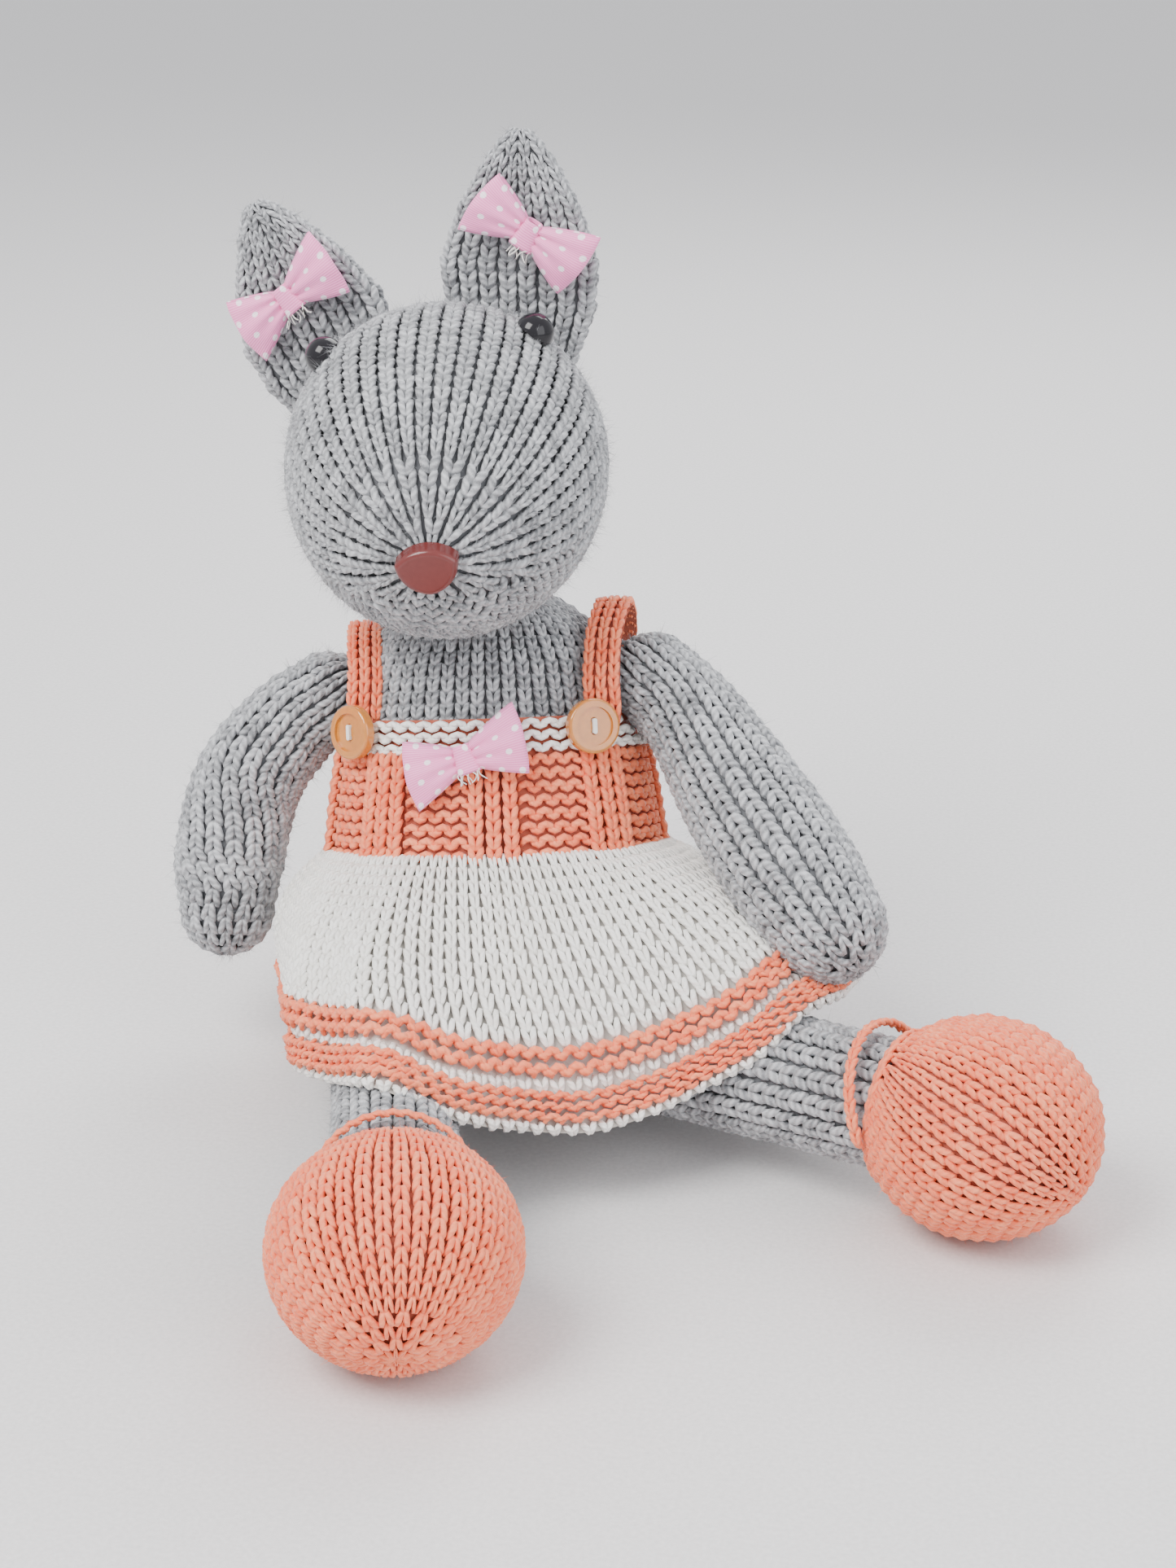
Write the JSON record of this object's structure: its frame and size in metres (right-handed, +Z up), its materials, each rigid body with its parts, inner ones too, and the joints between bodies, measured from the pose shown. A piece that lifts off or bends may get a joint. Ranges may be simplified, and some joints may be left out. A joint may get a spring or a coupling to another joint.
{
  "type": "stuffed bunny rabbit",
  "caption": "Knitted stuffed bunny doll in a striped sundress, sitting with its legs out; head, ears, arms and legs move at their seams.",
  "frame": {"origin": "on the flat seat, on the surface that the doll sits on, under the middle of the body", "axes": "+Z up, the doll faces -Y, its own left is +X"},
  "size_m": [0.2256, 0.208, 0.2175],
  "materials": {
    "grey_yarn": "knitted marled grey yarn with a slight sheen",
    "coral_yarn": "knitted coral yarn, slightly fuzzy",
    "white_yarn": "knitted off-white yarn",
    "fibre_filling": "loose polyester fibre",
    "eye_plastic": "polished near-black dome",
    "nose_plastic": "polished brownish red",
    "washer_plastic": "plain moulded",
    "button_plastic": "amber, slightly see-through, dished",
    "white_thread": "sewing thread",
    "pink_ribbon": "ribbed ribbon with small white dots"
  },
  "bodies": {
    "torso": {"body_cover": "grey_yarn", "body_stuffing": "fibre_filling", "dress_neckband": "white_yarn", "dress_bodice": "coral_yarn", "dress_skirt": "white_yarn", "hem_ridge_upper": "coral_yarn", "hem_stripe": "white_yarn", "hem_ridge_lower": "coral_yarn", "strap_left": "coral_yarn", "strap_right": "coral_yarn", "button_left": "button_plastic", "button_right": "button_plastic", "button_thread_left": "white_thread", "button_thread_right": "white_thread", "bow_chest_loop_a": "pink_ribbon", "bow_chest_loop_b": "pink_ribbon", "bow_chest_wrap": "pink_ribbon"},
    "neck_seam": {"neck_seam": "grey_yarn"},
    "head": {"head_cover": "grey_yarn", "head_stuffing": "fibre_filling", "nose": "nose_plastic", "nose_washer": "washer_plastic", "eye_left": "eye_plastic", "eye_right": "eye_plastic", "eye_washer_left": "washer_plastic", "eye_washer_right": "washer_plastic"},
    "ear_left": {"ear_left": "grey_yarn", "bow_ear_left_loop_a": "pink_ribbon", "bow_ear_left_loop_b": "pink_ribbon", "bow_ear_left_wrap": "pink_ribbon"},
    "ear_right": {"ear_right": "grey_yarn", "bow_ear_right_loop_a": "pink_ribbon", "bow_ear_right_loop_b": "pink_ribbon", "bow_ear_right_wrap": "pink_ribbon"},
    "shoulder_seam_left": {"shoulder_seam_left": "grey_yarn"},
    "shoulder_seam_right": {"shoulder_seam_right": "grey_yarn"},
    "arm_left": {"arm_left_cover": "grey_yarn", "arm_left_stuffing": "fibre_filling"},
    "arm_right": {"arm_right_cover": "grey_yarn", "arm_right_stuffing": "fibre_filling"},
    "leg_left": {"leg_left_cover": "grey_yarn", "leg_left_stuffing": "fibre_filling", "shoe_left": "coral_yarn", "foot_left_stuffing": "fibre_filling", "shoe_strap_left": "coral_yarn"},
    "leg_right": {"leg_right_cover": "grey_yarn", "leg_right_stuffing": "fibre_filling", "shoe_right": "coral_yarn", "foot_right_stuffing": "fibre_filling", "shoe_strap_right": "coral_yarn"}
  },
  "joints": [
    {"name": "head_turn", "type": "hinge", "parent": "torso", "child": "neck_seam", "pos_m": [-0.00733, 0.03234, 0.10051], "axis": [0, 0, 1], "range_deg": [-30, 30]},
    {"name": "head_nod", "type": "hinge", "parent": "neck_seam", "child": "head", "pos_m": [-0.00733, 0.03234, 0.10051], "axis": [1, 0, 0], "range_deg": [-10, 8]},
    {"name": "arm_left_swing", "type": "hinge", "parent": "torso", "child": "shoulder_seam_left", "pos_m": [0.034, 0.025, 0.0935], "axis": [-1, 0, 0], "range_deg": [0, 75]},
    {"name": "arm_left_lift", "type": "hinge", "parent": "shoulder_seam_left", "child": "arm_left", "pos_m": [0.034, 0.025, 0.0935], "axis": [0, -1, 0], "range_deg": [0, 50]},
    {"name": "arm_right_swing", "type": "hinge", "parent": "torso", "child": "shoulder_seam_right", "pos_m": [-0.046, 0.026, 0.0835], "axis": [-1, 0, 0], "range_deg": [-20, 85]},
    {"name": "arm_right_lift", "type": "hinge", "parent": "shoulder_seam_right", "child": "arm_right", "pos_m": [-0.046, 0.026, 0.0835], "axis": [0, 1, 0], "range_deg": [0, 60]},
    {"name": "leg_left_spread", "type": "hinge", "parent": "torso", "child": "leg_left", "pos_m": [0.024, -0.016, 0.022], "axis": [0, 0, 1], "range_deg": [-12, 12]},
    {"name": "leg_right_spread", "type": "hinge", "parent": "torso", "child": "leg_right", "pos_m": [-0.02, -0.02, 0.022], "axis": [0, 0, 1], "range_deg": [-8, 12]},
    {"name": "ear_left_fold", "type": "hinge", "parent": "head", "child": "ear_left", "pos_m": [-0.001, 0.049, 0.163], "axis": [-1, 0, -0.0018], "range_deg": [-6, 45]},
    {"name": "ear_right_fold", "type": "hinge", "parent": "head", "child": "ear_right", "pos_m": [-0.042, 0.0495, 0.152], "axis": [-0.893, 0.0091, -0.4499], "range_deg": [-6, 45]}
  ]
}
